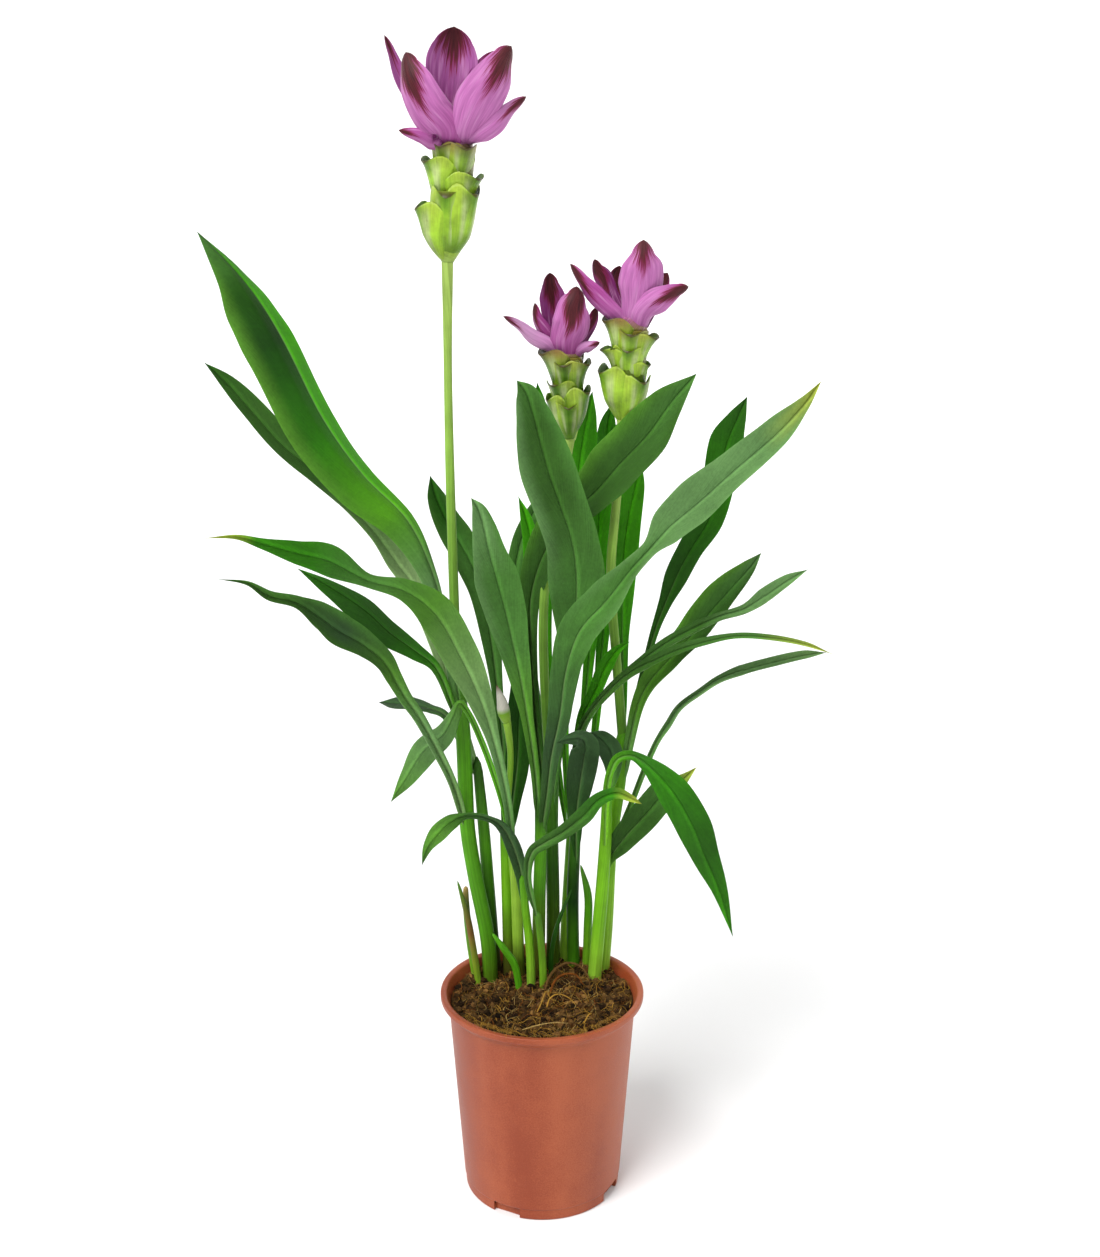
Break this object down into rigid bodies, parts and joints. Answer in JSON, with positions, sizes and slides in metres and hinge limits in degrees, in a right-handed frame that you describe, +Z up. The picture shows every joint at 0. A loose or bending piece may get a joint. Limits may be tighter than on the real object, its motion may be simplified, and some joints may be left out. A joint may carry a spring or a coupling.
{
  "type": "potted siam tulip",
  "caption": "Siam tulip plant with upright pleated blades, leafless flower stalks, green bract spikes with pink crowns, rooted in soil in a round plastic nursery pot",
  "frame": {"origin": "centre of the pot's foot, on the surface that the pot stands on", "axes": "+Z up along the plant's height; -Y is the front, where the picture was taken from; +X is right in that view"},
  "size_m": [0.3925, 0.189, 0.7192],
  "materials": {
    "pot": "terracotta-coloured satin plastic, softly mottled",
    "soil": null,
    "leaf": null,
    "dark_leaf": null,
    "bright_leaf": null,
    "sprout": null,
    "green_bract": null,
    "pink_bract": null,
    "bud": null
  },
  "bodies": {
    "root": {"pot": "pot", "soil": "soil", "shoot_left": "leaf", "shoot_left_back": "leaf", "shoot_front_left": "leaf", "shoot_front_centre": "leaf", "shoot_back_left": "dark_leaf", "shoot_centre": "leaf", "shoot_centre_back": "leaf", "shoot_right": "bright_leaf", "shoot_right_front": "bright_leaf", "shoot_right_back": "dark_leaf", "shoot_back": "bright_leaf", "leaf_low_centre": "bright_leaf", "sprout_right": "bright_leaf", "sprout_left": "sprout", "stub_left": "sprout", "sprout_front_left": "sprout", "thread_leaf_centre": "dark_leaf", "bloom_left_spike": "green_bract", "bloom_left_bracts": "pink_bract", "bloom_centre_spike": "green_bract", "bloom_centre_bracts": "pink_bract", "bloom_right_spike": "green_bract", "bloom_right_bracts": "pink_bract", "bud": "bud"}
  },
  "joints": []
}
